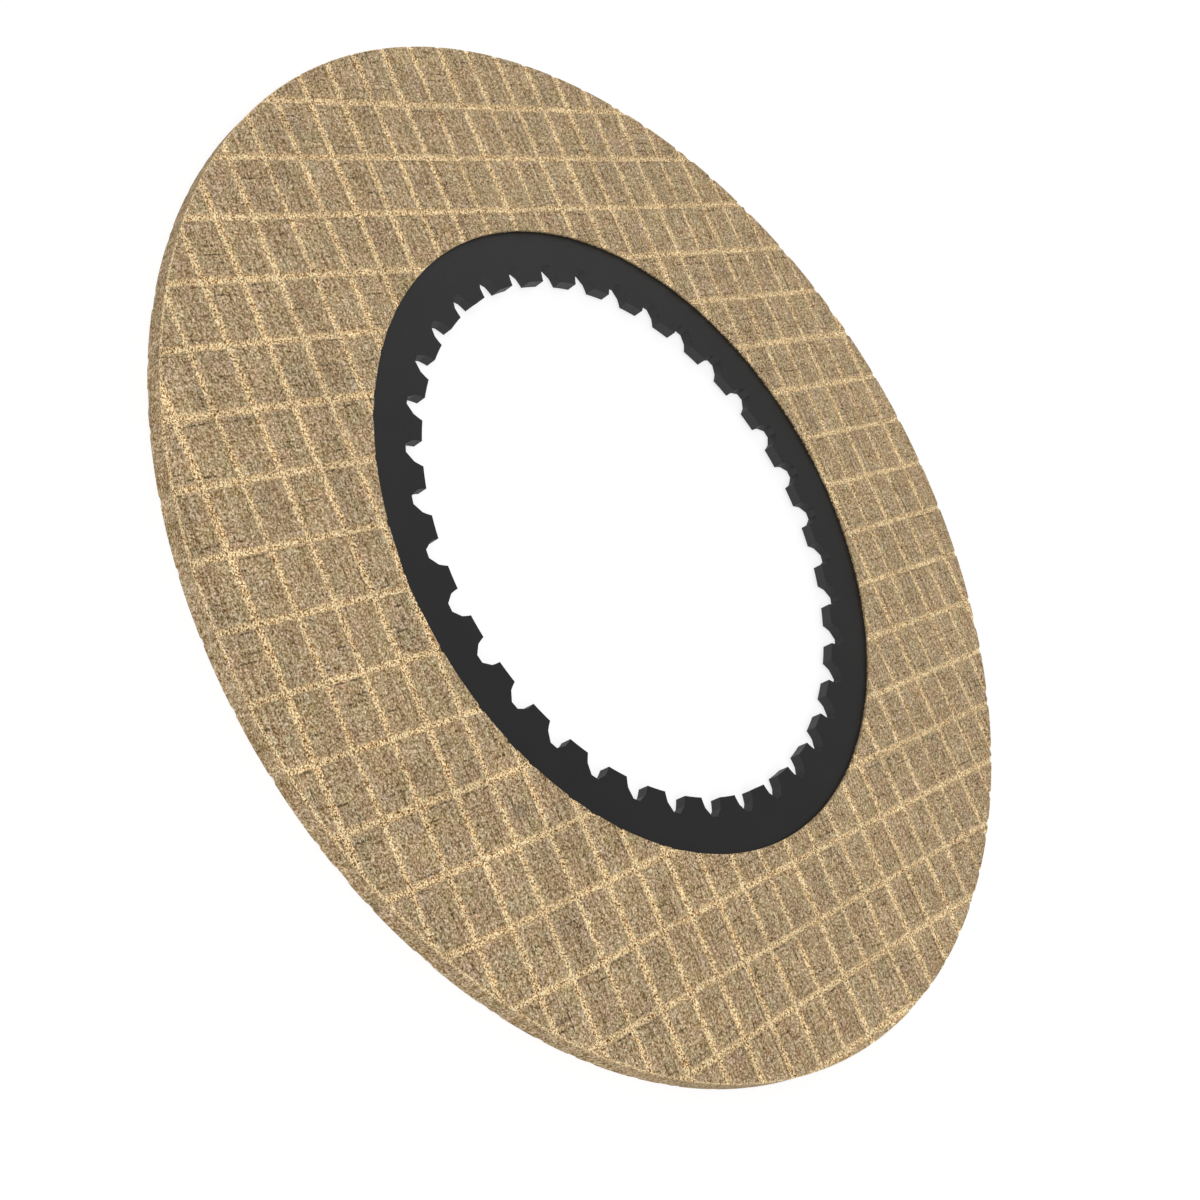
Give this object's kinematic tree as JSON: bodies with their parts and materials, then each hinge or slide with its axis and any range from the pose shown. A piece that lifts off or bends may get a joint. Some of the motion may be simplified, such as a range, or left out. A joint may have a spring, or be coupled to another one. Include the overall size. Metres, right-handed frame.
{
  "type": "transmission brake disc",
  "caption": "Flat friction disc for an oil-bathed brake or clutch: a toothed steel core plate faced on both sides with grooved fibre lining.",
  "frame": {"origin": "centre of the disc, on its axis at mid thickness", "axes": "+Z along the disc's axis, out of the front lining; +X through the middle of a tooth and along one set of oil grooves, +Y along the other set"},
  "size_m": [0.205, 0.205, 0.0042],
  "materials": {
    "core_steel": "steel plate with a dark grey satin oxide coat",
    "friction_lining": "rough grey-brown fibre composite, with paler grooves"
  },
  "bodies": {
    "root": {"core_plate": "core_steel", "front_lining": "friction_lining", "back_lining": "friction_lining"}
  },
  "joints": []
}
